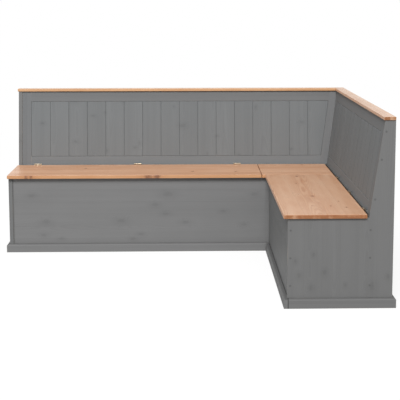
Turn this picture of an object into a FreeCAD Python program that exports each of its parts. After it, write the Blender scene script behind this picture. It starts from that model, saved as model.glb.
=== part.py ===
import FreeCAD, Part
import math
import os

from FreeCAD import Vector

# Corner storage bench: a long run and a shorter wing meet in the corner of a room.
# Origin: floor level, middle of the rectangle that the bench covers.
# X points right, Y points to the wall behind the long run, Z points up.
# Both runs are described by the same three sizes: u is the distance along the wall
# from the room's corner, v the distance out from the wall, and z the height.

# Overall sizes, millimetres
long_length = 2000.0
wing_length = 1660.0
seat_depth = 500.0
seat_height = 450.0
total_height = 910.0

# Board stock
panel_t = 22.0
front_t = 20.0
rear_wall_t = 20.0
partition_t = 20.0
floor_t = 12.0
lid_t = 19.0
cap_t = 16.0
frame_t = 20.0
plank_t = 12.0
rib_t = 22.0

# Chest
front_recess = 4.0
floor_gap = 8.0
floor_cleat = 20.0
floor_clearance = 1.0
rest_cleat_h = 20.0
corner_cleat_h = 30.0
corner_block = 30.0
rear_wall_v = 99.0

# Seat boards
lid_overhang = 20.0
lid_end_overhang = 5.0
wing_lid_end_overhang = 10.0
corner_board_side = 19.0
lid_rear_v = 127.0
seam = 3.0
lid_rest_gap = 0.3
lid_batten_w = 40.0
lid_batten_t = 18.0
lid_batten_inset = 110.0
lid_batten_gap = 20.0
edge_radius = 2.0

# Backrest
post_v_seat = 115.0
post_v_top = 50.0
back_recess = 4.0
top_rail_h = 63.0
bottom_rail_h = 50.0
end_stile_w = 55.0
corner_stile_w = 44.0
plank_pitch = 112.9
first_groove = 192.6
v_groove = 2.0
tongue_t = 4.0
tongue_length = 6.0
joint_gap = 0.3
cap_depth = 56.0
cap_end_overhang = 5.0
corner_post = 25.0

# Skirting
skirting_h = 48.0
skirting_t = 16.0
skirting_bevel = 8.0
notch_gap = 0.5

# Hinges
hinge_length = 45.0
hinge_inset = 123.0
hinges_per_lid = 3
leaf_t = 2.0
leaf_drop = 17.0
knuckle_r = 4.0
knuckle_gap = 0.3
pin_r = 2.0
pin_clearance = 0.05
leaf_clearance = 0.4
hinge_screw_spread = 14.0
hinge_screw_depth = 9.0
hinge_screw = {"head_r": 3.0, "head_h": 1.5, "shank_r": 1.5, "length": 16.0}

# Panel screws, the wooden plugs over them, and the cap dowels
panel_screw = {"head_r": 4.5, "head_h": 3.0, "shank_r": 2.5, "length": 50.0}
plug_r = 5.0
plug_depth = 6.0
hole_clearance = 0.1
front_screw_low = 107.0
front_screw_under_seat = 76.0
back_screw_over_seat = 70.0
back_screws_under_cap = (185.0, 54.0)
dowel_r = 4.0
dowel_length = 36.0
dowel_in_cap = 11.0

# Sizes that follow from the ones above
wall_x = long_length / 2
wall_y = (wing_length + skirting_t) / 2
run_length = {"long": long_length, "wing": wing_length}
chest_top = seat_height - lid_t - lid_rest_gap
cap_z = total_height - cap_t
front_face_v = seat_depth - front_recess
front_back_v = front_face_v - front_t
rear_face_v = rear_wall_v + rear_wall_t
lid_front_v = seat_depth + lid_overhang
lean_angle = math.atan2(post_v_seat - post_v_top, cap_z - seat_height)
back_foot_v = post_v_seat - back_recess / math.cos(lean_angle)
slope_length = (cap_z - seat_height) / math.cos(lean_angle)
rise_low = bottom_rail_h
rise_high = slope_length - top_rail_h
tongue_range = ((plank_t - tongue_t) / 2, (plank_t + tongue_t) / 2)
floor_z = 2 * floor_cleat
leaf_bottom_z = seat_height - leaf_drop
hinge_z = seat_height + knuckle_r
hinge_v = lid_rear_v - knuckle_r
corner_board_u = lid_front_v + corner_board_side
lid_start = {"long": corner_board_u + seam, "wing": lid_front_v + seam}
lid_end = {"long": long_length + lid_end_overhang, "wing": wing_length + wing_lid_end_overhang}
partition_u = {name: start - seam / 2 - partition_t / 2 for name, start in lid_start.items()}
chest_start = {name: start + partition_t for name, start in partition_u.items()}
cap_start = {"long": cap_depth, "wing": 0.0}
rear_wall_start = {"long": rear_wall_v, "wing": rear_face_v}
ribs = {"long": (680.0, 1330.0), "wing": (640.0, 1140.0)}


def at(run, u, v, z):
    """Point of the bench from a run's own distances."""
    if run == "long":
        return Vector(wall_x - u, wall_y - v, z)
    return Vector(wall_x - v, wall_y - u, z)


def along(run):
    """Unit vector along the run, away from the room's corner."""
    return at(run, 1, 0, 0) - at(run, 0, 0, 0)


def outward(run):
    """Unit vector away from the run's wall."""
    return at(run, 0, 1, 0) - at(run, 0, 0, 0)


def leaning(run, u, rise, behind):
    """Point of the backrest: rise up its slope, behind its front face."""
    v = back_foot_v - rise * math.sin(lean_angle) - behind * math.cos(lean_angle)
    z = seat_height + rise * math.cos(lean_angle) - behind * math.sin(lean_angle)
    return at(run, u, v, z)


def flat_face(points):
    return Part.Face(Part.makePolygon(points + points[:1]))


def prism(points, sweep):
    """Straight solid from a closed flat outline."""
    return flat_face(points).extrude(sweep)


def board(run, u_range, v_range, z_range):
    """Rectangular board between two distances each way."""
    near = at(run, u_range[0], v_range[0], z_range[0])
    far = at(run, u_range[1], v_range[1], z_range[1])
    low = Vector(min(near.x, far.x), min(near.y, far.y), z_range[0])
    return Part.makeBox(abs(near.x - far.x), abs(near.y - far.y), z_range[1] - z_range[0], low)


def profile_along(run, outline, u_range):
    """Outline in v and z, swept along the run."""
    points = [at(run, u_range[0], v, z) for v, z in outline]
    return prism(points, along(run) * (u_range[1] - u_range[0]))


def plan_shape(run, outline, z_range):
    """Outline in u and v, swept upwards."""
    points = [at(run, u, v, z_range[0]) for u, v in outline]
    return prism(points, Vector(0, 0, z_range[1] - z_range[0]))


def slab(run, outline, behind_range):
    """Outline on the backrest's slope, in u and rise, with its thickness behind the face."""
    points = [leaning(run, u, rise, behind_range[0]) for u, rise in outline]
    sweep = leaning(run, 0, 0, behind_range[1]) - leaning(run, 0, 0, behind_range[0])
    return prism(points, sweep)


def softened(shape, edges):
    """Shape with the given edges rounded over."""
    return shape.makeFillet(edge_radius, edges)


def wall_distance(run, point):
    """Distance of a point from the run's wall."""
    return wall_y - point.y if run == "long" else wall_x - point.x


def screw(start, direction, sizes, clearance=0.0):
    """Countersunk screw with its head's face at start, or its hole if there is clearance."""
    head = Part.makeCone(
        sizes["head_r"] + clearance, sizes["shank_r"] + clearance, sizes["head_h"], start, direction)
    shank = Part.makeCylinder(
        sizes["shank_r"] + clearance, sizes["length"] + clearance, start, direction)
    return head.fuse(shank).removeSplitter()


def group(solids):
    """Separate solids kept side by side in one sub-part."""
    return Part.makeCompound(solids)


def save(name, shape):
    """Writes one sub-part."""
    shape.exportStep(os.path.join("parts", name + ".step"))


# Hinge places along each lid: near both ends and evenly between
def hinge_places(run):
    first = lid_start[run] + hinge_inset
    last = lid_end[run] - hinge_inset
    step = (last - first) / (hinges_per_lid - 1)
    return [first + step * number for number in range(hinges_per_lid)]


def hinge_screw_points(run, v):
    points = []
    for place in hinge_places(run):
        for side in (-1, 1):
            points.append(at(run, place + side * hinge_screw_spread, v, seat_height - hinge_screw_depth))
    return points


def lid_leaf_screws(run, clearance=0.0):
    starts = hinge_screw_points(run, lid_rear_v - leaf_t)
    return [screw(start, outward(run), hinge_screw, clearance) for start in starts]


def wall_leaf_screws(run, clearance=0.0):
    starts = hinge_screw_points(run, rear_face_v + leaf_t)
    return [screw(start, -outward(run), hinge_screw, clearance) for start in starts]


# Screws through an end panel: into the chest front, the rear wall and the backrest's end stile
def panel_screw_places():
    high = seat_height - front_screw_under_seat
    chest_heights = (front_screw_low, (front_screw_low + high) / 2, high)
    places = [(front_face_v - front_t / 2, z) for z in chest_heights]
    places += [(rear_wall_v + rear_wall_t / 2, z) for z in chest_heights]
    back_heights = [seat_height + back_screw_over_seat]
    back_heights += [cap_z - distance for distance in back_screws_under_cap]
    for z in back_heights:
        middle_v = back_foot_v - (z - seat_height) * math.tan(lean_angle)
        places.append((middle_v - frame_t / 2 / math.cos(lean_angle), z))
    return places


def panel_screws(run, clearance=0.0):
    start_u = run_length[run] - plug_depth
    return [screw(at(run, start_u, v, z), -along(run), panel_screw, clearance)
            for v, z in panel_screw_places()]


def panel_plugs(run, clearance=0.0):
    start_u = run_length[run] - plug_depth
    return [Part.makeCylinder(plug_r + clearance, plug_depth, at(run, start_u, v, z), along(run))
            for v, z in panel_screw_places()]


# Dowels that carry the cap: one in each rib, each end panel and the corner post
def cap_dowel_places(run):
    places = [run_length[run] - panel_t / 2]
    places += [rib + rib_t / 2 for rib in ribs[run]]
    return places


def dowels(run, clearance=0.0):
    low_z = cap_z + dowel_in_cap - dowel_length
    return [Part.makeCylinder(dowel_r + clearance, dowel_length + clearance,
                              at(run, u, corner_post / 2, low_z), Vector(0, 0, 1))
            for u in cap_dowel_places(run)]


def corner_dowel(clearance=0.0):
    low_z = cap_z + dowel_in_cap - dowel_length
    centre = at("wing", corner_post / 2, corner_post / 2, low_z)
    return Part.makeCylinder(dowel_r + clearance, dowel_length + clearance, centre, Vector(0, 0, 1))


def end_panel(run):
    """Chest end and leaning back post, cut from one glued board."""
    post_v_chest = post_v_seat + (seat_height - chest_top) * math.tan(lean_angle)
    outline = [(0, 0), (seat_depth, 0), (seat_depth, chest_top),
               (post_v_chest, chest_top), (post_v_top, cap_z), (0, cap_z)]
    body = profile_along(run, outline, (run_length[run] - panel_t, run_length[run]))
    upright = [edge for edge in body.Edges if edge.BoundBox.ZLength > chest_top / 2]
    body = softened(body, [edge for edge in upright if wall_distance(run, edge.CenterOfMass) > panel_t])
    holes = panel_screws(run, hole_clearance) + panel_plugs(run, hole_clearance)
    return body.cut(group(holes + dowels(run, hole_clearance)))


def front_panel(run):
    """Chest front. The long one runs through at the inner corner and the wing's butts against it."""
    start = {"long": front_back_v, "wing": front_face_v}[run]
    body = board(run, (start, run_length[run] - panel_t), (front_back_v, front_face_v),
                 (floor_gap, chest_top))
    return body.cut(group(panel_screws(run, hole_clearance)))


def rear_wall(run):
    """Rear wall of the chest, which carries the hinges and the foot of the backrest."""
    body = board(run, (rear_wall_start[run], run_length[run] - panel_t),
                 (rear_wall_v, rear_face_v), (floor_gap, seat_height))
    holes = panel_screws(run, hole_clearance) + wall_leaf_screws(run, hole_clearance)
    return body.cut(group(holes))


def partition(run):
    """Wall between the chest and the closed corner."""
    return board(run, (partition_u[run], chest_start[run]), (rear_face_v, front_back_v),
                 (0, chest_top))


def chest_floor(run):
    """Loose floor board that lies on the floor cleats."""
    inner_end = run_length[run] - panel_t - floor_clearance
    return board(run, (chest_start[run] + floor_clearance, inner_end),
                 (rear_face_v + floor_clearance, front_back_v - floor_clearance),
                 (floor_z, floor_z + floor_t))


def floor_cleats(run):
    """Two long and two short cleats round the foot of the chest."""
    start = chest_start[run]
    end = run_length[run] - panel_t
    z_range = (floor_z - floor_cleat, floor_z)
    cleats = []
    for v in (rear_face_v, front_back_v - floor_cleat):
        cleats.append(board(run, (start, end), (v, v + floor_cleat), z_range))
    for u in (start, end - floor_cleat):
        v_range = (rear_face_v + floor_cleat, front_back_v - floor_cleat)
        cleats.append(board(run, (u, u + floor_cleat), v_range, z_range))
    return group(cleats)


def lid_rest_cleat(run):
    """Cleat on the rear wall under the lid's rear edge."""
    return board(run, (chest_start[run], run_length[run] - panel_t),
                 (rear_face_v, rear_face_v + floor_cleat), (chest_top - rest_cleat_h, chest_top))


def corner_board_cleats():
    """Two cleats that carry the rear edges of the corner board."""
    z_range = (chest_top - corner_cleat_h, chest_top)
    v_range = (rear_face_v, rear_face_v + floor_cleat)
    behind = board("long", (rear_face_v, partition_u["long"]), v_range, z_range)
    beside = board("wing", (rear_face_v + floor_cleat, partition_u["wing"]), v_range, z_range)
    return group([behind, beside])


def lid(run):
    """Hinged seat board with rounded edges."""
    body = board(run, (lid_start[run], lid_end[run]), (lid_rear_v, lid_front_v),
                 (seat_height - lid_t, seat_height))
    return softened(body, body.Edges).cut(group(lid_leaf_screws(run, hole_clearance)))


def lid_battens(run):
    """Battens across the underside that keep the glued lid flat."""
    first = chest_start[run] + lid_batten_inset
    last = run_length[run] - panel_t - lid_batten_inset
    middle = (first + last) / 2
    v_range = (rear_face_v + floor_cleat + lid_batten_gap, front_back_v - lid_batten_gap)
    z_range = (seat_height - lid_t - lid_batten_t, seat_height - lid_t)
    return group([board(run, (u - lid_batten_w / 2, u + lid_batten_w / 2), v_range, z_range)
                  for u in (first, middle, last)])


def corner_board():
    """Fixed seat board in the corner, level with the two lids."""
    body = board("long", (lid_rear_v, corner_board_u), (lid_rear_v, lid_front_v),
                 (chest_top, chest_top + lid_t))
    return softened(body, body.Edges)


# Backrest outline: the corner ends follow the line where the two leaning backs meet
def corner_line(rise, offset=0.0):
    return back_foot_v - rise * math.sin(lean_angle) + offset


def opening(run, margin):
    """Inner outline of the frame, in u and rise, moved outwards by a margin."""
    low, high = rise_low - margin, rise_high + margin
    end = run_length[run] - panel_t - end_stile_w + margin
    inset = corner_stile_w - margin
    return [(corner_line(low, inset), low), (end, low), (end, high), (corner_line(high, inset), high)]


def bevelled(run, front_margin, back_margin):
    """Solid as deep as the V grooves, with the opening's outline wider on one face than on the other."""
    front = [leaning(run, u, rise, 0) for u, rise in opening(run, front_margin)]
    back = [leaning(run, u, rise, v_groove) for u, rise in opening(run, back_margin)]
    sides = [[front[corner - 1], front[corner], back[corner], back[corner - 1]]
             for corner in range(len(front))]
    shell = Part.makeShell([flat_face(points) for points in [front, back] + sides])
    return Part.makeSolid(shell)


def frame_piece(run, outline):
    """Piece of the backrest frame, grooved and bevelled for the planks and mitred in the corner."""
    groove = slab(run, opening(run, tongue_length + joint_gap), tongue_range)
    piece = slab(run, outline, (0, frame_t)).cut(groove).cut(bevelled(run, v_groove, 0))
    zone = [(0, 0), (run_length[run], 0), (run_length[run], seat_depth), (seat_depth, seat_depth)]
    return piece.common(plan_shape(run, zone, (seat_height, cap_z)))


past_slope = slope_length + frame_t


def back_rail(run, low, high):
    """Rail between the end stile and the corner stile."""
    end = run_length[run] - panel_t - end_stile_w
    return frame_piece(run, [(corner_line(low, corner_stile_w), low), (end, low),
                             (end, high), (corner_line(high, corner_stile_w), high)])


def end_stile(run):
    """Upright of the frame beside the end panel, with the screws' pilot holes."""
    outer = run_length[run] - panel_t
    inner = outer - end_stile_w
    piece = frame_piece(run, [(inner, -frame_t), (outer, -frame_t), (outer, past_slope), (inner, past_slope)])
    return piece.cut(group(panel_screws(run, hole_clearance)))


def corner_stile(run):
    """Slanted upright of the frame, mitred against its twin in the corner."""
    low, high = -frame_t, past_slope
    return frame_piece(run, [(corner_line(low, -frame_t), low), (corner_line(low, corner_stile_w), low),
                             (corner_line(high, corner_stile_w), high), (corner_line(high, -frame_t), high)])


def plank_outline(low, high):
    """Section of a tongued and grooved plank with its front edges bevelled."""
    front, back = tongue_range
    slot_front, slot_back = front - joint_gap, back + joint_gap
    slot_depth = tongue_length + joint_gap
    return [(low + v_groove, 0), (high - v_groove, 0), (high, v_groove),
            (high, front), (high + tongue_length, front), (high + tongue_length, back), (high, back),
            (high, plank_t), (low, plank_t), (low, slot_back), (low + slot_depth, slot_back),
            (low + slot_depth, slot_front), (low, slot_front), (low, v_groove)]


def planks(run):
    """Row of planks flush with the frame. Their ends are bevelled and have tongues in its grooves."""
    field = bevelled(run, -v_groove - joint_gap, -joint_gap).multiFuse([
        slab(run, opening(run, -joint_gap), (v_groove, plank_t)),
        slab(run, opening(run, tongue_length), tongue_range)])
    low, high = rise_low - plank_t, rise_high + plank_t
    sweep = leaning(run, 0, high, 0) - leaning(run, 0, low, 0)
    first_seam = run_length[run] - first_groove
    count = round((first_seam - corner_line(rise_high, corner_stile_w)) / plank_pitch)
    seams = [run_length[run]] + [first_seam - plank_pitch * number for number in range(count)]
    seams.append(corner_line(high))
    row = []
    for high_u, low_u in zip(seams, seams[1:]):
        section = plank_outline(low_u + joint_gap / 2, high_u - joint_gap / 2)
        points = [leaning(run, u, low, behind) for u, behind in section]
        row += prism(points, sweep).common(field).Solids
    return group(row)


def back_ribs(run):
    """Upright ribs behind the rear wall and the backrest that carry the cap."""
    back_v = back_foot_v - frame_t / math.cos(lean_angle)
    top_v = back_v - (cap_z - seat_height) * math.tan(lean_angle)
    outline = [(0, 0), (rear_wall_v, 0), (rear_wall_v, seat_height),
               (back_v, seat_height), (top_v, cap_z), (0, cap_z)]
    solids = [profile_along(run, outline, (u, u + rib_t)) for u in ribs[run]]
    holes = group(dowels(run, hole_clearance))
    return group([solid.cut(holes) for solid in solids])


def cap(run):
    """Flat top board of the backrest. The wing's cap runs through in the corner."""
    end = run_length[run] + cap_end_overhang
    body = board(run, (cap_start[run], end), (0, cap_depth), (cap_z, total_height))
    body = softened(body, body.Edges)
    holes = dowels(run, hole_clearance)
    if run == "wing":
        holes.append(corner_dowel(hole_clearance))
    return body.cut(group(holes))


def skirting_outline(inner, outer):
    """Section of a skirting board with its upper outer edge bevelled."""
    bevel = skirting_bevel if outer > inner else -skirting_bevel
    return [(inner, 0), (outer, 0), (outer, skirting_h - skirting_bevel),
            (outer - bevel, skirting_h), (inner, skirting_h)]


def end_notch(run):
    """Space of the end panel's front edge, with a little room round it."""
    return board(run, (run_length[run] - panel_t - notch_gap, run_length[run]),
                 (0, seat_depth), (-notch_gap, skirting_h + notch_gap))


def long_front_skirting():
    """Skirting on the long chest front, mitred at its free end."""
    outer_v = seat_depth + skirting_t
    body = profile_along("long", skirting_outline(front_face_v, outer_v),
                         (front_face_v, long_length + skirting_t))
    waste = [(long_length, seat_depth), (long_length + skirting_t, outer_v),
             (long_length + skirting_t, front_recess), (long_length, front_recess)]
    return body.cut(plan_shape("long", waste, (0, skirting_h))).cut(end_notch("long"))


def long_side_skirting():
    """Skirting on the free outer side of the long run."""
    outline = skirting_outline(long_length, long_length + skirting_t)
    points = [at("long", u, 0, z) for u, z in outline]
    body = prism(points, outward("long") * (seat_depth + skirting_t))
    waste = [(long_length, seat_depth), (long_length + skirting_t, seat_depth + skirting_t),
             (long_length, seat_depth + skirting_t)]
    return body.cut(plan_shape("long", waste, (0, skirting_h)))


def wing_front_skirting():
    """Skirting on the wing's chest front. Its end grain shows beside the end skirting."""
    outer_v = seat_depth + skirting_t
    body = profile_along("wing", skirting_outline(front_face_v, outer_v),
                         (outer_v, wing_length + skirting_t))
    return body.cut(end_notch("wing"))


def wing_end_skirting():
    """Skirting across the wing's end panel, mitred at the wall side."""
    outline = skirting_outline(wing_length, wing_length + skirting_t)
    points = [at("wing", u, -skirting_t, z) for u, z in outline]
    body = prism(points, outward("wing") * (front_face_v + skirting_t))
    waste = [(wing_length, 0), (wing_length + skirting_t, -skirting_t), (wing_length, -skirting_t)]
    return body.cut(plan_shape("wing", waste, (0, skirting_h)))


def wing_side_skirting():
    """Skirting on the wall side of the wing."""
    body = profile_along("wing", skirting_outline(0, -skirting_t), (0, wing_length + skirting_t))
    waste = [(wing_length, 0), (wing_length + skirting_t, -skirting_t), (wing_length + skirting_t, 0)]
    return body.cut(plan_shape("wing", waste, (0, skirting_h)))


def inner_corner_block():
    """Glue block behind the joint of the two chest fronts."""
    return board("wing", (front_back_v, partition_u["wing"]),
                 (front_back_v - corner_block, front_back_v), (floor_gap, chest_top))


# Hinge leaves: the plate hangs in the gap behind the lid and the knuckles stand above it
def leaf(run, place, plate_v, knuckles):
    """Leaf plate with its knuckles, bored for the pin."""
    low_v, high_v = sorted((plate_v, hinge_v + math.copysign(knuckle_r, plate_v - hinge_v)))
    half = hinge_length / 2
    plate = board(run, (place - half, place + half), (low_v, high_v),
                  (leaf_bottom_z, seat_height - leaf_clearance))
    pieces = []
    for start, end in knuckles:
        centre = at(run, place + start, hinge_v, hinge_z)
        pieces.append(Part.makeCylinder(knuckle_r, end - start, centre, along(run)))
        pieces.append(board(run, (place + start, place + end), (low_v, high_v),
                            (seat_height - leaf_clearance, hinge_z)))
    body = plate.multiFuse(pieces).removeSplitter()
    bore = Part.makeCylinder(pin_r + pin_clearance, hinge_length,
                             at(run, place - half, hinge_v, hinge_z), along(run))
    return body.cut(bore)


def lid_leaves(run):
    """Leaves on the lids' rear edges, one knuckle each."""
    middle = hinge_length / 6 - knuckle_gap / 2
    solids = [leaf(run, place, lid_rear_v - leaf_t, [(-middle, middle)]) for place in hinge_places(run)]
    return group([solid.cut(group(lid_leaf_screws(run, hole_clearance))) for solid in solids])


def wall_leaves(run):
    """Leaves on the rear wall, two knuckles each."""
    inner = hinge_length / 6 + knuckle_gap / 2
    outer = hinge_length / 2
    spans = [(-outer, -inner), (inner, outer)]
    solids = [leaf(run, place, rear_face_v + leaf_t, spans) for place in hinge_places(run)]
    return group([solid.cut(group(wall_leaf_screws(run, hole_clearance))) for solid in solids])


def hinge_pins(run):
    return group([Part.makeCylinder(pin_r, hinge_length,
                                    at(run, place - hinge_length / 2, hinge_v, hinge_z), along(run))
                  for place in hinge_places(run)])


end_names = {"long": "left_end_panel", "wing": "right_end_panel"}

for run in ("long", "wing"):
    save(end_names[run], end_panel(run))
    save(run + "_front_panel", front_panel(run))
    save(run + "_rear_wall", rear_wall(run))
    save(run + "_partition", partition(run))
    save(run + "_chest_floor", chest_floor(run))
    save(run + "_floor_cleats", floor_cleats(run))
    save(run + "_lid_rest_cleat", lid_rest_cleat(run))
    save(run + "_lid", lid(run))
    save(run + "_lid_battens", lid_battens(run))
    save(run + "_back_top_rail", back_rail(run, rise_high, past_slope))
    save(run + "_back_bottom_rail", back_rail(run, -frame_t, rise_low))
    save(run + "_back_end_stile", end_stile(run))
    save(run + "_back_corner_stile", corner_stile(run))
    save(run + "_back_planks", planks(run))
    save(run + "_back_ribs", back_ribs(run))
    save(run + "_cap", cap(run))
    save(run + "_lid_hinge_leaves", lid_leaves(run))
    save(run + "_wall_hinge_leaves", wall_leaves(run))
    save(run + "_hinge_pins", hinge_pins(run))
    save(run + "_lid_hinge_screws", group(lid_leaf_screws(run)))
    save(run + "_wall_hinge_screws", group(wall_leaf_screws(run)))
    save(run + "_end_screws", group(panel_screws(run)))
    save(run + "_end_screw_plugs", group(panel_plugs(run)))

save("corner_seat_board", corner_board())
save("corner_board_cleats", corner_board_cleats())
save("corner_post", board("wing", (0, corner_post), (0, corner_post), (0, cap_z))
     .cut(corner_dowel(hole_clearance)))
save("inner_corner_block", inner_corner_block())
save("cap_dowels", group(dowels("long") + dowels("wing") + [corner_dowel()]))
save("long_front_skirting", long_front_skirting())
save("left_side_skirting", long_side_skirting())
save("wing_front_skirting", wing_front_skirting())
save("wing_end_skirting", wing_end_skirting())
save("right_side_skirting", wing_side_skirting())
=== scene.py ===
"""Finish, light and camera of the corner storage bench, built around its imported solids."""
import math

import bmesh
import bpy
from mathutils import Matrix, Vector


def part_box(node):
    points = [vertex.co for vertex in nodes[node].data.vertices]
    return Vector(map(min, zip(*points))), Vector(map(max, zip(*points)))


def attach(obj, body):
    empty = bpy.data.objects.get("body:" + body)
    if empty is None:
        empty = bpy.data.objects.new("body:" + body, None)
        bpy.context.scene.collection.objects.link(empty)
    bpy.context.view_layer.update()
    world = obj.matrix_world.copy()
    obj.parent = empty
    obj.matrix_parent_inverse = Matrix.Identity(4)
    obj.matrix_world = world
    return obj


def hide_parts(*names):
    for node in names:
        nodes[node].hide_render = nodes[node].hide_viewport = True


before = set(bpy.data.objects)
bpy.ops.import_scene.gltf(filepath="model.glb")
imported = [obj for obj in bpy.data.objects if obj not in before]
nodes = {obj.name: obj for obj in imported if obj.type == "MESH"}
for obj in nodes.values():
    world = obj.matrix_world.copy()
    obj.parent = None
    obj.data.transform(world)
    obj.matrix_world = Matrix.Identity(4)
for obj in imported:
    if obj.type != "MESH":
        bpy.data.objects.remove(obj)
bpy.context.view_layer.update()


# End panels
# Each end is one upright board glued up from pine staves and sawn to the outline of chest and leaning
# post. Grey lacquer is sprayed over it, and grain, glue lines and knots show through it faintly.

def fill_inputs(tree, node, inputs):
    """Links or sets the inputs of a shader node."""
    for name, value in inputs.items():
        if isinstance(value, bpy.types.NodeSocket):
            tree.links.new(value, node.inputs[name])
        else:
            node.inputs[name].default_value = value


def add_node(tree, kind, inputs, output=0, **settings):
    """Adds a shader node with its inputs filled, and returns one of its outputs."""
    node = tree.nodes.new("ShaderNode" + kind)
    for name, value in settings.items():
        setattr(node, name, value)
    fill_inputs(tree, node, inputs)
    return node.outputs[output]


def place_on_piece(tree):
    """Where a point lies on its piece, in metres. The pattern moves with the piece."""
    return add_node(tree, "TexCoord", {}, "Object")


def split_vector(tree, vector):
    """The three parts of a vector."""
    return add_node(tree, "SeparateXYZ", {0: vector}).node.outputs


def maths(tree, operation, *values):
    return add_node(tree, "Math", dict(enumerate(values)), operation=operation)


def vector_maths(tree, operation, *values, output=0):
    return add_node(tree, "VectorMath", dict(enumerate(values)), output, operation=operation)


def weighed(tree, start, *terms):
    """Start plus each value times its weight."""
    for value, weight in terms:
        start = maths(tree, "MULTIPLY_ADD", value, weight, start)
    return start


def fade(tree, value, low, high, at_low=0.0, at_high=1.0):
    """Smooth step from one level to another while the value goes from low to high."""
    sockets = {"Value": value, "From Min": low, "From Max": high, "To Min": at_low, "To Max": at_high}
    return add_node(tree, "MapRange", sockets, interpolation_type="SMOOTHSTEP")


def blend_colours(tree, share, first, second):
    """Colour between two, by a share from 0 to 1."""
    return add_node(tree, "Mix", {0: share, 6: first, 7: second}, 2, data_type="RGBA", clamp_factor=True)


def noise(tree, place, waves, detail=2.0):
    """Noise centred on zero, with so many waves per metre each way."""
    stretched = vector_maths(tree, "MULTIPLY", place, waves)
    level = add_node(tree, "TexNoise", {"Vector": stretched, "Scale": 1.0, "Detail": detail})
    return maths(tree, "SUBTRACT", level, 0.5)


def draw_numbers(tree, *seeds):
    """Three numbers from 0 to 1 that depend on the seeds alone."""
    point = add_node(tree, "CombineXYZ", dict(enumerate(seeds)))
    colour = add_node(tree, "TexWhiteNoise", {"Vector": point}, 1)
    return tuple(split_vector(tree, colour))


def shader_group(name, inputs, outputs):
    """New node group. Returns its tree, its inputs and a function that fills its outputs."""
    tree = bpy.data.node_groups.new(name, "ShaderNodeTree")
    for label, (kind, value) in inputs.items():
        socket = tree.interface.new_socket(label, in_out="INPUT", socket_type="NodeSocket" + kind)
        if value is not None:
            socket.default_value = value
    for label, kind in outputs.items():
        tree.interface.new_socket(label, in_out="OUTPUT", socket_type="NodeSocket" + kind)
    given = tree.nodes.new("NodeGroupInput").outputs
    results = tree.nodes.new("NodeGroupOutput").inputs

    def give(label, value):
        tree.links.new(value, results[label])

    return tree, given, give


def use_group(tree, group, inputs):
    """Places a node group in a material and returns its outputs."""
    node = tree.nodes.new("ShaderNodeGroup")
    node.node_tree = group
    fill_inputs(tree, node, inputs)
    return node.outputs


def make_pine_grain():
    """Growth rings in each glued stave, as a solid pattern, so that end grain shows arcs."""
    ring_width = 0.0034
    tree, given, give = shader_group("pine grain", {
        "Place": ("Vector", None), "Stave Width": ("Float", 0.09), "First Seam": ("Float", 0.0),
        "Seam Width": ("Float", 0.0009), "Seed": ("Float", 0.0), "Bend": ("Float", 0.0)},
        {"Latewood": "Float", "Tone": "Float", "Streaks": "Float", "Fibres": "Float", "Seam": "Float"})
    split = split_vector(tree, given["Place"])
    past_seam = maths(tree, "SUBTRACT", split[1], given["First Seam"])
    stave = maths(tree, "FLOOR", maths(tree, "DIVIDE", past_seam, given["Stave Width"]))
    stave_middle = maths(tree, "MULTIPLY", maths(tree, "ADD", stave, 0.5), given["Stave Width"])
    sideways = maths(tree, "SUBTRACT", past_seam, stave_middle)
    pick_a, pick_b, pick_c = draw_numbers(tree, stave, given["Seed"], 4.0)
    shift = add_node(tree, "CombineXYZ", {0: maths(tree, "MULTIPLY", pick_a, 31.0),
                                          1: maths(tree, "MULTIPLY", pick_b, 17.0), 2: given["Seed"]})
    place = vector_maths(tree, "ADD", given["Place"], shift)
    # Each stave is from another log. Its heart wanders along the board, up to 8 cm to one side of the
    # stave and 2 to 9 cm below its middle.
    wander = maths(tree, "MULTIPLY", noise(tree, place, (1.1, 3.0, 3.0), 1.0), 0.07)
    heart_side = maths(tree, "MULTIPLY", maths(tree, "SUBTRACT", pick_b, 0.5), 0.16)
    heart_depth = weighed(tree, 0.02, (pick_c, 0.07))
    tilt = maths(tree, "MULTIPLY", maths(tree, "SUBTRACT", pick_a, 0.5), 0.05)
    side = maths(tree, "ADD", maths(tree, "SUBTRACT", sideways, heart_side), wander)
    depth = weighed(tree, maths(tree, "ADD", split[2], heart_depth), (split[0], tilt), (wander, 0.7))
    flat = add_node(tree, "CombineXYZ", {0: side, 1: depth})
    radius = maths(tree, "ADD", vector_maths(tree, "LENGTH", flat, output=1), given["Bend"])
    radius = weighed(tree, radius, (noise(tree, place, (4.0, 35.0, 35.0), 2.0), 0.003))
    years = weighed(tree, maths(tree, "DIVIDE", radius, ring_width),
                    (add_node(tree, "TexNoise", {"W": maths(tree, "MULTIPLY", radius, 30.0), "Scale": 1.0},
                              noise_dimensions="1D"), 2.5))
    ring = maths(tree, "FRACT", years)
    late = maths(tree, "MULTIPLY", fade(tree, ring, 0.3, 0.85), fade(tree, ring, 0.9, 1.0, 1.0, 0.0))
    edge = maths(tree, "SUBTRACT", maths(tree, "MULTIPLY", given["Stave Width"], 0.5),
                 maths(tree, "ABSOLUTE", sideways))
    give("Latewood", late)
    give("Tone", maths(tree, "SUBTRACT", pick_c, 0.5))
    give("Streaks", noise(tree, place, (0.9, 26.0, 26.0), 3.0))
    give("Fibres", noise(tree, place, (16.0, 700.0, 700.0), 2.0))
    give("Seam", fade(tree, edge, 0.0002, given["Seam Width"], 1.0, 0.0))
    return tree


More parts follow.
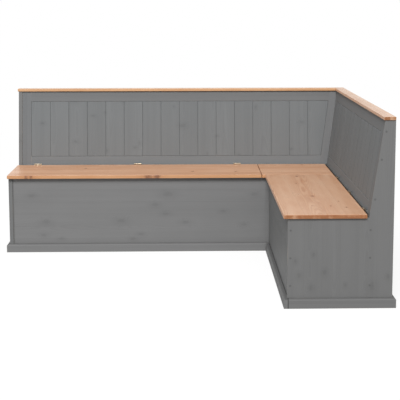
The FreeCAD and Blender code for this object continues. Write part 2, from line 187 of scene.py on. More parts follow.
def make_single_knot():
    """One branch that the board was sawn through. It adds to the knots that were given before it.

    Core is the branch, Halo the stained wood round it, and Bend how far the rings swerve past it.
    """
    tree, given, give = shader_group("single knot", {
        "Place": ("Vector", None), "Along": ("Float", 0.0), "Across": ("Float", 0.0),
        "Radius": ("Float", 0.01), "Stretch": ("Float", 1.4),
        "Core": ("Float", 0.0), "Halo": ("Float", 0.0), "Bend": ("Float", 0.0)},
        {"Core": "Float", "Halo": "Float", "Bend": "Float"})
    split = split_vector(tree, given["Place"])
    size = maths(tree, "MAXIMUM", given["Radius"], 0.0001)
    rough = maths(tree, "MULTIPLY", noise(tree, given["Place"], (70.0, 70.0, 70.0), 2.0), size)
    away = maths(tree, "SUBTRACT", split[0], given["Along"])
    away = maths(tree, "DIVIDE", maths(tree, "ADD", away, rough), given["Stretch"])
    aside = maths(tree, "SUBTRACT", split[1], given["Across"])
    aside = weighed(tree, aside, (rough, 0.8))
    flat = add_node(tree, "CombineXYZ", {0: away, 1: aside})
    far = maths(tree, "DIVIDE", vector_maths(tree, "LENGTH", flat, output=1), size)
    core = fade(tree, far, 0.45, 1.1, 1.0, 0.0)
    halo = fade(tree, far, 0.7, 3.0, 1.0, 0.0)
    bend = maths(tree, "EXPONENT", maths(tree, "MULTIPLY", maths(tree, "MULTIPLY", far, far), -0.25))
    give("Core", maths(tree, "MAXIMUM", core, given["Core"]))
    give("Halo", maths(tree, "MAXIMUM", halo, given["Halo"]))
    give("Bend", maths(tree, "MULTIPLY_ADD", bend, maths(tree, "MULTIPLY", size, 1.5), given["Bend"]))
    return tree


def make_scattered_knots(single):
    """Knots strewn over a board that the photo doesn't show, at most one in each cell of a grid."""
    tree, given, give = shader_group("scattered knots", {
        "Place": ("Vector", None), "Seed": ("Float", 0.0), "Spacing Along": ("Float", 0.34),
        "Spacing Across": ("Float", 0.1), "Radius": ("Float", 0.011), "Share": ("Float", 0.5)},
        {"Core": "Float", "Halo": "Float", "Bend": "Float"})
    split = split_vector(tree, given["Place"])
    cell_length, cell_width = given["Spacing Along"], given["Spacing Across"]
    column = maths(tree, "FLOOR", maths(tree, "DIVIDE", split[0], cell_length))
    row = maths(tree, "FLOOR", maths(tree, "DIVIDE", split[1], cell_width))
    pick_a, pick_b, pick_c = draw_numbers(tree, column, row, given["Seed"])
    along = weighed(tree, maths(tree, "ADD", column, 0.25), (pick_a, 0.5))
    across = weighed(tree, maths(tree, "ADD", row, 0.35), (pick_b, 0.3))
    there = maths(tree, "LESS_THAN", pick_c, given["Share"])
    radius = maths(tree, "MULTIPLY", given["Radius"], weighed(tree, 0.5, (pick_c, 1.2)))
    knot = use_group(tree, single, {
        "Place": given["Place"], "Along": maths(tree, "MULTIPLY", cell_length, along),
        "Across": maths(tree, "MULTIPLY", cell_width, across),
        "Radius": maths(tree, "MULTIPLY", radius, there)})
    for label in ("Core", "Halo", "Bend"):
        give(label, knot[label])
    return tree


def make_worn_edges():
    """Where hands and cushions have rubbed the long edges of a board."""
    tree, given, give = shader_group("worn edges", {
        "Place": ("Vector", None), "Low": ("Vector", None), "High": ("Vector", None),
        "Width": ("Float", 0.0025)},
        {"Wear": "Float"})
    inside = vector_maths(tree, "MINIMUM", vector_maths(tree, "SUBTRACT", given["Place"], given["Low"]),
                          vector_maths(tree, "SUBTRACT", given["High"], given["Place"]))
    gaps = split_vector(tree, inside)
    # An edge is near where the second smallest distance to the board's faces is small.
    second = maths(tree, "MAXIMUM", maths(tree, "MINIMUM", gaps[0], gaps[1]),
                   maths(tree, "MINIMUM", maths(tree, "MAXIMUM", gaps[0], gaps[1]), gaps[2]))
    ragged = weighed(tree, 1.0, (noise(tree, given["Place"], (25.0, 60.0, 60.0), 3.0), 2.2))
    share = maths(tree, "DIVIDE", second, maths(tree, "MULTIPLY", given["Width"], ragged))
    patches = fade(tree, noise(tree, given["Place"], (6.0, 9.0, 9.0), 2.0), -0.12, 0.16)
    give("Wear", maths(tree, "MULTIPLY", fade(tree, share, 0.2, 1.0, 1.0, 0.0), patches))
    return tree


def make_lacquer_film():
    """Sprayed lacquer on pine: the wood beneath shows as faint shade and relief."""
    tree, given, give = shader_group("lacquer film", {
        "Place": ("Vector", None), "Grey": ("Color", None), "Seam Shade": ("Float", -0.08),
        "Latewood": ("Float", 0.0), "Tone": ("Float", 0.0), "Streaks": ("Float", 0.0),
        "Fibres": ("Float", 0.0), "Seam": ("Float", 0.0), "Core": ("Float", 0.0), "Halo": ("Float", 0.0),
        "Wear": ("Float", 0.0)},
        {"Colour": "Color", "Roughness": "Float", "Height": "Float"})
    mottle = noise(tree, given["Place"], (5.0, 5.0, 5.0), 3.0)
    peel = noise(tree, given["Place"], (420.0, 420.0, 420.0), 1.0)
    shade = weighed(tree, 1.0, (given["Tone"], 0.04), (given["Streaks"], 0.18), (given["Fibres"], 0.05),
                    (given["Latewood"], -0.045), (given["Halo"], -0.055), (given["Core"], -0.08),
                    (given["Seam"], given["Seam Shade"]), (mottle, 0.07))
    grey = add_node(tree, "VectorMath", {0: given["Grey"], "Scale": shade}, operation="SCALE")
    thin = maths(tree, "MULTIPLY", given["Wear"], 0.4)
    rubbed_wood = (0.36, 0.31, 0.25, 1.0)
    give("Colour", blend_colours(tree, thin, grey, rubbed_wood))
    give("Roughness", weighed(tree, 0.6, (mottle, 0.16), (given["Latewood"], 0.03), (given["Core"], -0.07),
                              (given["Fibres"], 0.08), (given["Wear"], 0.12)))
    give("Height", weighed(tree, 0.0, (given["Latewood"], -0.05), (given["Fibres"], 0.03),
                           (given["Seam"], -0.12), (peel, 0.03), (given["Core"], -0.15),
                           (given["Halo"], 0.2), (given["Wear"], -0.1)))
    return tree


pine_grain = make_pine_grain()
single_knot = make_single_knot()
scattered_knots = make_scattered_knots(single_knot)
worn_edges = make_worn_edges()
lacquer_film = make_lacquer_film()

along_x, along_y, along_z = Vector((1, 0, 0)), Vector((0, 1, 0)), Vector((0, 0, 1))
lacquer_grey = (0.184, 0.185, 0.184, 1.0)


def dress(node, material):
    """Puts a material in the one slot of a CAD node."""
    nodes[node].material_slots[0].material = material


def new_material(name):
    """Material with nodes, and the shader that its finish is wired to."""
    material = bpy.data.materials.new(name)
    material.use_nodes = True
    return material, material.node_tree, material.node_tree.nodes["Principled BSDF"]


def wire_finish(tree, shader, finish, shine):
    """Feeds the colour, roughness and relief of a finish to the shader of a material."""
    relief = add_node(tree, "Bump", {"Height": finish["Height"], "Distance": 0.001})
    tree.links.new(finish["Colour"], shader.inputs["Base Color"])
    tree.links.new(finish["Roughness"], shader.inputs["Roughness"])
    tree.links.new(relief, shader.inputs["Normal"])
    shader.inputs["Specular IOR Level"].default_value = shine


def lay_wood(tree, node, grain, across, seed, stave=0.09, first_seam=0.0, seam_width=0.0009, knots=(),
             scatter=0.0, stretch=1.4):
    """Wires grain, knots and edge wear for one board, and returns what a finish needs of them.

    Knots are placed as (along the grain, across it, radius), from the middle of the board. A fourth
    value is for a branch that was sawn through at a slant, and shows longer. Scatter is the share of
    places with a knot on a board that the photograph doesn't show.
    """
    turn = Matrix((grain, across, grain.cross(across)))
    low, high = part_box(node)
    middle = (low + high) / 2
    corners = [turn @ (vertex.co - middle) for vertex in nodes[node].data.vertices]
    edges = {name: Vector(pick(corner[axis] for corner in corners) for axis in range(3))
             for name, pick in (("Low", min), ("High", max))}
    place = add_node(tree, "Mapping", {
        "Vector": place_on_piece(tree), "Location": -(turn @ middle), "Rotation": turn.to_euler()})
    found = {"Core": 0.0, "Halo": 0.0, "Bend": 0.0}
    if scatter:
        found = use_group(tree, scattered_knots, {"Place": place, "Seed": seed, "Share": scatter})
    for knot_along, knot_across, radius, *longer in knots:
        found = use_group(tree, single_knot, {
            "Place": place, "Along": knot_along, "Across": knot_across, "Radius": radius,
            "Stretch": longer[0] if longer else stretch,
            "Core": found["Core"], "Halo": found["Halo"], "Bend": found["Bend"]})
    wood = use_group(tree, pine_grain, {
        "Place": place, "Stave Width": stave, "First Seam": first_seam, "Seam Width": seam_width,
        "Seed": seed, "Bend": found["Bend"]})
    wear = use_group(tree, worn_edges, {"Place": place, "Low": edges["Low"], "High": edges["High"]})
    parts = {name: wood[name] for name in ("Latewood", "Tone", "Streaks", "Fibres", "Seam")}
    parts.update({"Place": place, "Core": found["Core"], "Halo": found["Halo"], "Wear": wear["Wear"]})
    return parts


def coat(node, film, grain, across, colours, shine, **wood):
    """Gives a node its own material: its wood, under a finish."""
    material, tree, shader = new_material(film.name + " on " + node.replace("_", " "))
    parts = lay_wood(tree, node, grain, across, **wood)
    wire_finish(tree, shader, use_group(tree, film, {**parts, **colours}), shine)
    dress(node, material)


def lacquer(node, grain, across, grey=lacquer_grey, seam_shade=-0.08, **wood):
    """Grey lacquer, which is matt enough to mirror next to nothing."""
    lacquer_shine = 0.08
    coat(node, lacquer_film, grain, across, {"Grey": grey, "Seam Shade": seam_shade}, lacquer_shine, **wood)


left_end_grey = (0.174, 0.176, 0.176, 1.0)
right_end_grey = (0.169, 0.169, 0.168, 1.0)
lacquer("left_end_panel", along_z, along_y, grey=left_end_grey, stave=0.078, seed=3.0, scatter=0.5)
lacquer("right_end_panel", along_z, along_x, grey=right_end_grey, stave=0.086, seed=5.0, knots=(
    (-0.290, -0.195, 0.010), (-0.275, -0.073, 0.010), (-0.350, -0.137, 0.011), (-0.338, 0.025, 0.007),
    (-0.343, 0.153, 0.016), (-0.297, 0.228, 0.009), (-0.189, -0.126, 0.008), (-0.220, -0.211, 0.009)))


# Chest fronts
# One wide pine board to each run, glued up with the grain along the bench and lacquered as the end panels
# are. They meet in the inner corner, where a block is glued behind the joint.

def lay_over(tree, share, colour):
    """Covers a share of a material's own colour with another."""
    base_colour = tree.nodes["Principled BSDF"].inputs["Base Color"]
    own = base_colour.links[0].from_socket
    tree.links.new(blend_colours(tree, share, own, colour), base_colour)


def shade_and_dust(node, axis, joint, near, far, share):
    """Darkens a board towards a plane across one axis. It paints shade and shadow next to other parts, and
    dust and dried lacquer in a butt joint.
    """
    shade_and_dust_black = (0.02, 0.02, 0.02, 1.0)
    tree = nodes[node].material_slots[0].material.node_tree
    along = split_vector(tree, place_on_piece(tree))[axis]
    away = maths(tree, "ABSOLUTE", maths(tree, "SUBTRACT", along, joint))
    lay_over(tree, fade(tree, away, near, far, share, 0.0), shade_and_dust_black)


long_front_grey = (0.200, 0.200, 0.200, 1.0)
end_panel_face = -0.980
skirting_top = 0.048
lacquer("long_front_panel", along_x, along_z, grey=long_front_grey, stave=0.071, seed=8.0, stretch=2.2,
        knots=(
            (-0.644, 0.109, 0.010), (0.144, 0.115, 0.016), (0.071, 0.053, 0.011), (0.132, -0.001, 0.010),
            (0.246, -0.051, 0.011), (-0.561, -0.044, 0.013), (-0.127, -0.041, 0.013), (0.646, 0.113, 0.010),
            (0.584, -0.067, 0.009), (-0.577, -0.123, 0.009), (-0.061, -0.148, 0.008), (-0.014, -0.121, 0.008),
            (-0.475, -0.145, 0.008), (0.464, 0.013, 0.009)))
lacquer("wing_front_panel", along_y, along_z, stave=0.071, seed=12.0, scatter=0.5)
# Painted shadow on the long front beside the left end panel's edge, and painted shade on the wing front just
# above the skirting.
shade_and_dust("long_front_panel", 0, end_panel_face, 0.005, 0.012, 0.28)
shade_and_dust("wing_front_panel", 2, skirting_top, 0.005, 0.025, 0.2)


# Rear walls, partitions, ribs and glue blocks
# Planed pine without any finish, because it is inside the chests, behind the backrest or against the
# wall. Only the top of the rear walls is brushed grey; they carry the hinges and the backrest's foot.

def make_clear_finish():
    """Bare or oiled pine: pale early wood, darker late wood, and brown knots with a warm ring."""
    tree, given, give = shader_group("clear finish", {
        "Place": ("Vector", None), "Pale": ("Color", None), "Dark": ("Color", None), "Knot": ("Color", None),
        "Grain Axis": ("Vector", None), "Face Axis": ("Vector", None),
        "Side Light Tint": ("Vector", None), "Mattness": ("Float", 0.5),
        "Latewood": ("Float", 0.0), "Tone": ("Float", 0.0), "Streaks": ("Float", 0.0),
        "Fibres": ("Float", 0.0), "Seam": ("Float", 0.0), "Core": ("Float", 0.0), "Halo": ("Float", 0.0),
        "Wear": ("Float", 0.0)},
        {"Colour": "Color", "Roughness": "Float", "Height": "Float"})
    facing = add_node(tree, "TexCoord", {}, "Normal")
    end = maths(tree, "ABSOLUTE", vector_maths(tree, "DOT_PRODUCT", facing, given["Grain Axis"], output=1))
    end = fade(tree, end, 0.6, 0.9)
    flat = maths(tree, "ABSOLUTE", vector_maths(tree, "DOT_PRODUCT", facing, given["Face Axis"], output=1))
    side = maths(tree, "SUBTRACT", fade(tree, flat, 0.4, 0.8, 1.0, 0.0), end)
    pores = noise(tree, given["Place"], (300.0, 500.0, 500.0), 2.0)
    mottle = noise(tree, given["Place"], (4.0, 16.0, 16.0), 4.0)
    dark = weighed(tree, 0.12, (given["Latewood"], 0.38), (given["Streaks"], 0.9), (given["Fibres"], 0.25),
                   (given["Tone"], 0.3), (mottle, 0.8), (given["Halo"], 0.12))
    wood = blend_colours(tree, dark, given["Pale"], given["Dark"])
    # Painted light and shade: the sides beside the face are tinted apart from it, by how differently light
    # and sheen fall on them.
    wood = blend_colours(tree, side, wood, vector_maths(tree, "MULTIPLY", wood, given["Side Light Tint"]))
    # End grain soaks up more of everything and turns a deep brown, in patches.
    soaked_tint = (0.51, 0.34, 0.20)
    patches = noise(tree, given["Place"], (5.0, 32.0, 32.0), 2.0)
    soaked = weighed(tree, 0.8, (patches, 2.4), (given["Tone"], 0.5), (given["Latewood"], 0.25))
    deep = vector_maths(tree, "MULTIPLY", wood, soaked_tint)
    wood = blend_colours(tree, maths(tree, "MULTIPLY", end, soaked), wood, deep)
    ring = maths(tree, "MULTIPLY", given["Halo"], 0.22)
    wood = blend_colours(tree, ring, wood, given["Dark"])
    wood = blend_colours(tree, maths(tree, "MULTIPLY", given["Core"], 0.8), wood, given["Knot"])
    crack = maths(tree, "MULTIPLY", given["Seam"], 0.25)
    wood = blend_colours(tree, crack, wood, given["Knot"])
    give("Colour", blend_colours(tree, maths(tree, "MULTIPLY", given["Wear"], 0.35), wood, given["Dark"]))
    give("Roughness", weighed(tree, given["Mattness"], (mottle, 0.15), (given["Latewood"], -0.08),
                              (given["Core"], -0.12), (end, 0.15), (given["Fibres"], 0.1),
                              (given["Wear"], -0.08)))
    give("Height", weighed(tree, 0.0, (given["Latewood"], 0.04), (given["Fibres"], 0.04), (pores, 0.03),
                           (given["Seam"], -0.1), (given["Core"], 0.08), (given["Wear"], -0.08)))
    return tree


clear_finish = make_clear_finish()


def show_wood(node, grain, across, pale, dark, knot, mattness, shine, side_tint=(1.04, 0.97, 0.80), **wood):
    """Wood that shows its own colours, oiled or bare. The side light tint is painted light and shade on the
    sides beside its face.
    """
    coat(node, clear_finish, grain, across, {
        "Pale": pale, "Dark": dark, "Knot": knot, "Grain Axis": grain, "Face Axis": grain.cross(across),
        "Side Light Tint": side_tint, "Mattness": mattness}, shine, **wood)


def bare(node, grain, across, **wood):
    """Planed pine that never saw oil or lacquer."""
    pale, dark, knot = (0.70, 0.50, 0.30, 1.0), (0.50, 0.29, 0.13, 1.0), (0.13, 0.055, 0.02, 1.0)
    show_wood(node, grain, across, pale, dark, knot, mattness=0.72, shine=0.25, **wood)


def lacquer_above(node, height, grey):
    """Brushes lacquer on a bare board above a height, where it shows in the gap behind a lid."""
    tree = nodes[node].material_slots[0].material.node_tree
    place = place_on_piece(tree)
    brush_marks = noise(tree, place, (30.0, 30.0, 30.0), 3.0)
    level = weighed(tree, split_vector(tree, place)[2], (brush_marks, 0.004))
    film = use_group(tree, lacquer_film, {"Place": place, "Grey": grey})
    lay_over(tree, fade(tree, level, height, height + 0.001), film["Colour"])


brushed_height = 0.424
shade_and_dust_grey = (0.10, 0.10, 0.098, 1.0)
bare("long_rear_wall", along_x, along_z, seed=21.0, scatter=0.45)
bare("wing_rear_wall", along_y, along_z, seed=22.0, scatter=0.45)
lacquer_above("long_rear_wall", brushed_height, lacquer_grey)
# The wing's band is a much darker grey: painted shade in the gap behind its lid, with dust.
lacquer_above("wing_rear_wall", brushed_height, shade_and_dust_grey)
bare("long_partition", along_y, along_z, seed=23.0, scatter=0.5)
bare("wing_partition", along_x, along_z, seed=24.0, scatter=0.5)
bare("long_back_ribs", along_z, along_y, stave=0.4, seed=25.0, scatter=0.4)
bare("wing_back_ribs", along_z, along_x, stave=0.4, seed=26.0, scatter=0.4)
bare("corner_post", along_z, along_y, stave=0.2, seed=27.0, scatter=0.3)
bare("inner_corner_block", along_z, along_x, stave=0.2, seed=28.0)


# Chest floors and cleats
# Thin bare pine boards that lie loose on cleats screwed to the chest's walls. Two more cleats hold up the
# corner board, and one lies under each lid's rear edge.

for number, run in enumerate(("long", "wing")):
    ahead, sideways = ((along_x, along_y), (along_y, along_x))[number]
    bare(run + "_chest_floor", ahead, sideways, stave=0.095, seed=31.0 + number, scatter=0.5)
    bare(run + "_floor_cleats", sideways, ahead, stave=0.3, seed=33.0 + number)
    bare(run + "_lid_rest_cleat", ahead, along_z, stave=0.2, seed=35.0 + number, scatter=0.3)
bare("corner_board_cleats", along_y, along_x, stave=0.3, seed=37.0)


# Backrest frames
# Each back leans against the ribs, in a pine frame of two rails and two stiles. They are jointed flush and
# lacquered, and the greys differ a little from piece to piece.

frame_greys = {"top_rail": (0.166, 0.171, 0.174, 1.0), "bottom_rail": (0.180, 0.190, 0.196, 1.0),
               "end_stile": (0.166, 0.173, 0.178, 1.0), "corner_stile": (0.178, 0.184, 0.188, 1.0)}
lean = math.radians(8.33)
up_long_back = Vector((0.0, math.sin(lean), math.cos(lean)))
up_wing_back = Vector((math.sin(lean), 0.0, math.cos(lean)))
for number, (run, ahead, upward) in enumerate((
        ("long", along_x, up_long_back), ("wing", along_y, up_wing_back))):
    for piece, (name, grain, across) in enumerate((
            ("top_rail", ahead, upward), ("bottom_rail", ahead, upward),
            ("end_stile", upward, ahead), ("corner_stile", upward, ahead))):
        lacquer(run + "_back_" + name, grain, across, grey=frame_greys[name], stave=0.4,
                seed=41.0 + 4 * number + piece, scatter=0.25)


# Backrest planks
# Lacquered pine planks stand in the frame, tongued into its grooves, with a V groove at each joint. Each
# plank has its own grain, and the grooves of the wing are darkened deeply: painted shade in the V, with dust.

plank_grey = (0.174, 0.184, 0.189, 1.0)
plank_width = 0.1129
long_first_seam, wing_first_seam = -0.7999, -0.6299
# Painted shade: the wing's V grooves are made much darker than the plain glue lines, with dust in them.
groove_shade_and_dust = {"seam_width": 0.0042, "seam_shade": -0.8}
lacquer("long_back_planks", up_long_back, along_x, grey=plank_grey, stave=plank_width,
        first_seam=long_first_seam, seed=51.0, scatter=0.25, stretch=0.6, knots=(
            (0.036, -0.844, 0.014), (0.172, -0.645, 0.020), (-0.078, -0.642, 0.014), (0.081, -0.536, 0.012),
            (-0.115, -0.279, 0.012), (0.018, 0.012, 0.022), (-0.046, 0.225, 0.011), (0.038, 0.748, 0.012),
            (-0.127, 0.681, 0.010)))
lacquer("wing_back_planks", up_wing_back, along_y, grey=plank_grey, stave=plank_width,
        first_seam=wing_first_seam, seed=53.0, scatter=0.4, **groove_shade_and_dust)


# Caps and their dowels
# Flat pine boards lie on the backrests, butted in the corner and held by hidden beech dowels. The
# boards are oiled.

def oil(node, grain, across, pale, dark, mattness, **wood):
    """Pine under a clear hard oil."""
    oiled_knot = (0.17, 0.058, 0.024, 1.0)
    show_wood(node, grain, across, pale, dark, oiled_knot, mattness, shine=0.5, **wood)


cap_pale = (0.61, 0.395, 0.255, 1.0)
cap_dark = (0.41, 0.195, 0.09, 1.0)
cap_mattness = 0.36
# Painted sheen: the sides of the wing's cap and lid are made much paler, as they look where they catch light
# at a grazing angle.
painted_sheen_edge = (1.42, 1.48, 1.62)
oil("long_cap", along_x, along_y, cap_pale, cap_dark, cap_mattness, stave=0.2, seed=61.0, scatter=0.35)
oil("wing_cap", along_y, along_x, cap_pale, cap_dark, cap_mattness, side_tint=painted_sheen_edge, stave=0.2,
    seed=62.0, scatter=0.35)
beech_pale, beech_dark, beech_fleck = (0.62, 0.42, 0.27, 1.0), (0.5, 0.3, 0.17, 1.0), (0.3, 0.16, 0.08, 1.0)
show_wood("cap_dowels", along_z, along_x, beech_pale, beech_dark, beech_fleck, mattness=0.65, shine=0.3,
          stave=3.0, seed=63.0)


# Seat boards
# The corner board is fixed on cleats; the two lids have battens under them against cupping. All are glued
# up from pine staves and oiled, with the edges eased.

seat_pale = (0.67, 0.395, 0.242, 1.0)
wing_lid_pale = (0.635, 0.39, 0.245, 1.0)
seat_dark = (0.44, 0.19, 0.08, 1.0)
seat_mattness = 0.38
oil("corner_seat_board", along_x, along_y, seat_pale, seat_dark, seat_mattness, stave=0.098, seed=71.0,
    knots=((0.064, 0.168, 0.006),))
oil("long_lid", along_x, along_y, seat_pale, seat_dark, seat_mattness, stave=0.098, seed=72.0, knots=(
    (-0.621, -0.1993, 0.0045, 3.6), (-0.594, -0.1993, 0.0045, 3.4), (-0.305, 0.059, 0.008),
    (0.078, -0.1993, 0.005, 6.5), (0.128, -0.1993, 0.005, 6.0), (0.336, -0.07, 0.009),
    (0.587, -0.077, 0.008)))
# Its sides take a painted sheen.
oil("wing_lid", along_y, along_x, wing_lid_pale, seat_dark, seat_mattness, side_tint=painted_sheen_edge,
    stave=0.098, seed=73.0, knots=(
        (0.52, -0.022, 0.011), (0.283, -0.049, 0.006), (-0.097, -0.005, 0.011), (-0.36, 0.053, 0.005),
        (-0.238, 0.11, 0.004), (-0.393, 0.125, 0.006)))
bare("long_lid_battens", along_y, along_x, stave=0.3, seed=74.0)
bare("wing_lid_battens", along_x, along_y, stave=0.3, seed=75.0)


# Hinges
# Three brass butt hinges to each lid, with rolled knuckles on a pin. The leaves are screwed to the lid's
# rear edge and to the rear wall with countersunk cross-head screws.

def make_brass():
    """Bronzed brass, darker away from the rubbed places."""
    material, tree, shader = new_material("bronzed brass")
    place = place_on_piece(tree)
    brushing = noise(tree, place, (900.0, 900.0, 2500.0), 2.0)
    tarnish = fade(tree, noise(tree, place, (160.0, 160.0, 160.0), 3.0), -0.05, 0.2)
    rubbed, dull = (0.33, 0.275, 0.205, 1.0), (0.16, 0.125, 0.09, 1.0)
    colour = blend_colours(tree, maths(tree, "MULTIPLY", tarnish, 0.5), rubbed, dull)
    tree.links.new(colour, shader.inputs["Base Color"])
    tree.links.new(weighed(tree, 0.3, (tarnish, 0.2), (brushing, 0.2)), shader.inputs["Roughness"])
    relief = add_node(tree, "Bump", {"Height": brushing, "Distance": 0.0001})
    tree.links.new(relief, shader.inputs["Normal"])
    shader.inputs["Metallic"].default_value = 1.0
    return material


brass = make_brass()
for run in ("long", "wing"):
    for name in ("_lid_hinge_leaves", "_wall_hinge_leaves"):
        dress(run + name, brass)


def new_piece(name, shape, material, body, slot, *stands_for):
    """Makes a piece of a finished bmesh. It rides on a body, in place of CAD nodes."""
    bmesh.ops.recalc_face_normals(shape, faces=shape.faces)
    mesh = bpy.data.meshes.new(name)
    shape.to_mesh(mesh)
    shape.free()
    mesh.materials.append(material)
    piece = bpy.data.objects.new(name, mesh)
    bpy.context.scene.collection.objects.link(piece)
    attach(piece, body)
    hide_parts(*stands_for)


def make_cross_head():
    """Countersunk screw with a cross recess. Its head's face lies at zero and its point is below."""
    head_radius, head_height = 0.003, 0.0015
    shank_radius, point_share, length = 0.0015, 0.35, 0.016
    rim, half_slot, recess_depth = 0.28 * head_radius, 0.13 * head_radius, 0.6 * head_height
    shape = bmesh.new()
    bmesh.ops.create_cone(shape, cap_ends=True, segments=24, radius1=shank_radius, radius2=head_radius,
                          depth=head_height, matrix=Matrix.Translation((0, 0, -head_height / 2)))
    top = max(shape.faces, key=lambda face: face.calc_center_median().z)
    foot = min(shape.faces, key=lambda face: face.calc_center_median().z)
    shank = bmesh.ops.extrude_discrete_faces(shape, faces=[foot])["faces"][0]
    bmesh.ops.translate(shape, verts=shank.verts, vec=(0, 0, head_height - length))
    bmesh.ops.scale(shape, verts=shank.verts, vec=(point_share, point_share, 1.0))
    bmesh.ops.inset_individual(shape, faces=[top], thickness=rim, depth=0.0)
    # The head's face is cut along both sides of two crossing slots, and what lies in a slot is sunk.
    pieces = [top]
    for normal in (along_x, along_y):
        for side in (-half_slot, half_slot):
            around = [item for face in pieces for item in (*face.edges, *face.verts)]
            cut = bmesh.ops.bisect_plane(shape, geom=pieces + list(dict.fromkeys(around)), dist=1e-7,
                                         plane_co=side * normal, plane_no=normal)
            pieces = [item for item in cut["geom"] if isinstance(item, bmesh.types.BMFace)]
    slots = [face for face in pieces
             if min(abs(face.calc_center_median().x), abs(face.calc_center_median().y)) < half_slot]
    sunk = bmesh.ops.extrude_face_region(shape, geom=slots)["geom"]
    bmesh.ops.delete(shape, geom=slots, context="FACES_ONLY")
    bottom = [item for item in sunk if isinstance(item, bmesh.types.BMVert)]
    bmesh.ops.translate(shape, verts=bottom, vec=(0, 0, -recess_depth))
    mesh = bpy.data.meshes.new("cross_head")
    shape.to_mesh(mesh)
    shape.free()
    return mesh


def set_screw(screws, pattern, start, direction):
    """Adds a copy of the pattern screw, driven in a direction from start."""
    before = len(screws.verts)
    screws.from_mesh(pattern)
    screws.verts.ensure_lookup_table()
    turn = (-direction).to_track_quat("Z", "Y").to_matrix().to_4x4()
    bmesh.ops.transform(screws, matrix=Matrix.Translation(start) @ turn, verts=screws.verts[before:])


cross_head = make_cross_head()
hinge_places = {"long": (0.335, -0.2735, -0.882), "wing": (0.192, -0.2585, -0.709)}
pin_depth = {"long": 0.715, "wing": 0.877}
pin_height = 0.454
pin_radius = 0.002
pin_length = 0.046
pin_ease = 0.0005
# The open faces of both leaves stand this far from the middle of the pin.
leaf_face = 0.002
screw_height = 0.441
screw_spread = 0.014


def on_run(run, along, deep, height):
    """Point from a distance along a run and one towards its wall."""
    return Vector((along, deep, height)) if run == "long" else Vector((deep, along, height))


for run in ("long", "wing"):
    to_wall, pin_axis = (along_y, "Y") if run == "long" else (along_x, "X")
    for body, name, way in ((run + "_lid", "lid_hinge", -1.0), ("bench", "wall_hinge", 1.0)):
        screws = bmesh.new()
        for place in hinge_places[run]:
            for side in (-screw_spread, screw_spread):
                start = on_run(run, place + side, pin_depth[run] + way * leaf_face, screw_height)
                set_screw(screws, cross_head, start, to_wall * way)
        new_piece(f"{run}_{name}_cross_heads", screws, brass, body, "brass", f"{run}_{name}_screws")
    pins = bmesh.new()
    for place in hinge_places[run]:
        turn = Matrix.Rotation(math.pi / 2, 4, pin_axis)
        middle = Matrix.Translation(on_run(run, place, pin_depth[run], pin_height))
        made = bmesh.ops.create_cone(pins, cap_ends=True, segments=20, radius1=pin_radius,
                                     radius2=pin_radius, depth=pin_length, matrix=middle @ turn)["verts"]
        edges = dict.fromkeys(edge for vertex in made for edge in vertex.link_edges)
        rims = [edge for edge in edges if max(len(face.verts) for face in edge.link_faces) > 4]
        bmesh.ops.bevel(pins, geom=rims, offset=pin_ease, offset_type="OFFSET", segments=2, profile=0.5,
                        affect="EDGES", material=-1)
    new_piece(run + "_hinge_round_pins", pins, brass, "bench", "brass", run + "_hinge_pins")


# End screws and plugs
# Zinc-plated screws hold each end panel to the chest's front, its rear wall and the frame of the back.
# Wooden plugs close their holes and are lacquered with the panel.

def make_zinc():
    """Zinc plating with its soft spangle."""
    material, tree, shader = new_material("zinc plating")
    place = place_on_piece(tree)
    spangle = noise(tree, place, (600.0, 600.0, 600.0), 2.0)
    bluish, yellowish = (0.66, 0.67, 0.68, 1.0), (0.5, 0.5, 0.46, 1.0)
    colour = blend_colours(tree, weighed(tree, 0.5, (spangle, 1.5)), bluish, yellowish)
    tree.links.new(colour, shader.inputs["Base Color"])
    tree.links.new(weighed(tree, 0.38, (spangle, 0.3)), shader.inputs["Roughness"])
    shader.inputs["Metallic"].default_value = 1.0
    return material


def make_plug_lacquer():
    """Lacquer on a plug, darker than the panel."""
    plug_grey = (0.105, 0.105, 0.103, 1.0)
    material, tree, shader = new_material("lacquered plug")
    place = place_on_piece(tree)
    film = use_group(tree, lacquer_film, {
        "Place": place, "Grey": plug_grey, "Fibres": noise(tree, place, (500.0, 500.0, 900.0), 3.0),
        "Streaks": noise(tree, place, (90.0, 90.0, 90.0), 2.0)})
    wire_finish(tree, shader, film, 0.3)
    return material


zinc = make_zinc()
plug_lacquer = make_plug_lacquer()
for run in ("long", "wing"):
    dress(run + "_end_screws", zinc)
    dress(run + "_end_screw_plugs", plug_lacquer)


# Skirting
# A bevelled pine board runs round the foot of the bench, lacquered and pinned on. The boards are butted at
# the corners, where dust darkens their joints, and painted shade darkens the bevel along their top.

long_skirting_grey = (0.206, 0.206, 0.206, 1.0)
end_skirting_grey = (0.172, 0.172, 0.171, 1.0)
front_corner_joint = 0.504
for number, (name, ahead, grey) in enumerate((
        ("long_front_skirting", along_x, long_skirting_grey),
        ("wing_end_skirting", along_x, end_skirting_grey),
        ("wing_front_skirting", along_y, lacquer_grey),
        ("left_side_skirting", along_y, lacquer_grey),
        ("right_side_skirting", along_y, lacquer_grey))):
    lacquer(name, ahead, along_z, grey=grey, stave=0.3, seed=81.0 + number, scatter=0.3)
    # Painted shade on the bevel along the top of each board and in the joint above it.
    shade_and_dust(name, 2, skirting_top, 0.001, 0.009, 0.4)
for board in ("wing_end_skirting", "wing_front_skirting"):
    shade_and_dust(board, 0, front_corner_joint, 0.001, 0.003, 0.85)


# Floor, light and camera
# A plain pale floor that shows white, soft studio light from the front and above, and the camera where the
# photograph was taken from. Its place and turn were solved from the bench's edges in the photograph.

def seen_directly(tree):
    """1 for rays from the camera or through a reflection, 0 for rays that light the object."""
    path = tree.nodes.new("ShaderNodeLightPath").outputs
    return maths(tree, "MAXIMUM", path["Is Camera Ray"], path["Is Glossy Ray"])


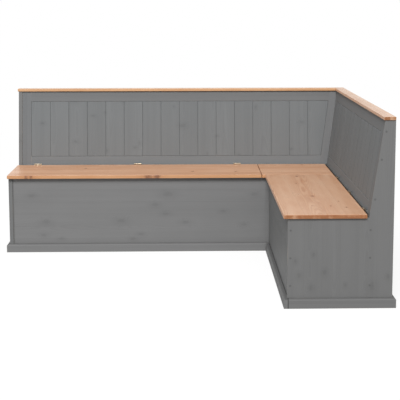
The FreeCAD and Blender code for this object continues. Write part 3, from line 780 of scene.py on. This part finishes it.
white = (1.0, 1.0, 1.0, 1.0)
lit_floor_grey = (0.4, 0.4, 0.4, 1.0)
bpy.ops.mesh.primitive_plane_add(size=60.0, location=(0.0, 0.0, -0.0005))
floor = bpy.context.object
floor.name = "studio_floor"
material, tree, shader = new_material("pale floor")
seen = seen_directly(tree)
tree.links.new(blend_colours(tree, seen, lit_floor_grey, white), shader.inputs["Base Color"])
shader.inputs["Roughness"].default_value = 0.9
shader.inputs["Specular IOR Level"].default_value = 0.0
# Near the bench the floor still takes a shadow; further out it fades to plain white.
glow = add_node(tree, "Emission", {"Color": white, "Strength": 1.0})
far = vector_maths(tree, "LENGTH", place_on_piece(tree), output=1)
share = maths(tree, "MULTIPLY", seen, fade(tree, far, 1.5, 6.0, 0.85, 1.0))
mixed = add_node(tree, "MixShader", {0: share, 1: shader.outputs[0], 2: glow})
tree.links.new(mixed, tree.nodes["Material Output"].inputs["Surface"])
floor.data.materials.append(material)

# The backdrop shows white, and lights the bench with about half of that.
backdrop_light = 0.52
world = bpy.data.worlds.new("studio")
bpy.context.scene.world = world
world.use_nodes = True
tree = world.node_tree
backdrop = tree.nodes["Background"]
backdrop.inputs["Color"].default_value = white
tree.links.new(fade(tree, seen_directly(tree), 0.0, 1.0, backdrop_light, 1.0), backdrop.inputs["Strength"])

lamp_place, lamp_aim = Vector((-3.54, -15.3, 16.6)), Vector((0.0, 0.0, 0.4))
lamp = bpy.data.lights.new("key_softbox", "AREA")
lamp.shape = "RECTANGLE"
lamp.size = 10.0
lamp.size_y = 8.0
lamp.energy = 4960.0
softbox = bpy.data.objects.new("key_softbox", lamp)
softbox.location = lamp_place
softbox.rotation_euler = (lamp_aim - lamp_place).to_track_quat("-Z", "Y").to_euler()
bpy.context.scene.collection.objects.link(softbox)

camera = bpy.data.objects.new("camera", bpy.data.cameras.new("camera"))
bpy.context.scene.collection.objects.link(camera)
bpy.context.scene.camera = camera
yaw, pitch, roll = 0.023696, 0.132391, 0.000675
camera.data.sensor_width = 36.0
camera.data.lens = 94.02
camera.data.shift_x = -0.03
camera.data.shift_y = -0.15
camera.location = (0.03134, -5.61676, 1.44307)
camera.rotation_euler = (Matrix.Rotation(-yaw, 3, "Z") @ Matrix.Rotation(math.pi / 2 - pitch, 3, "X")
                         @ Matrix.Rotation(-roll, 3, "Z")).to_euler()
bpy.context.scene.view_settings.view_transform = "Standard"
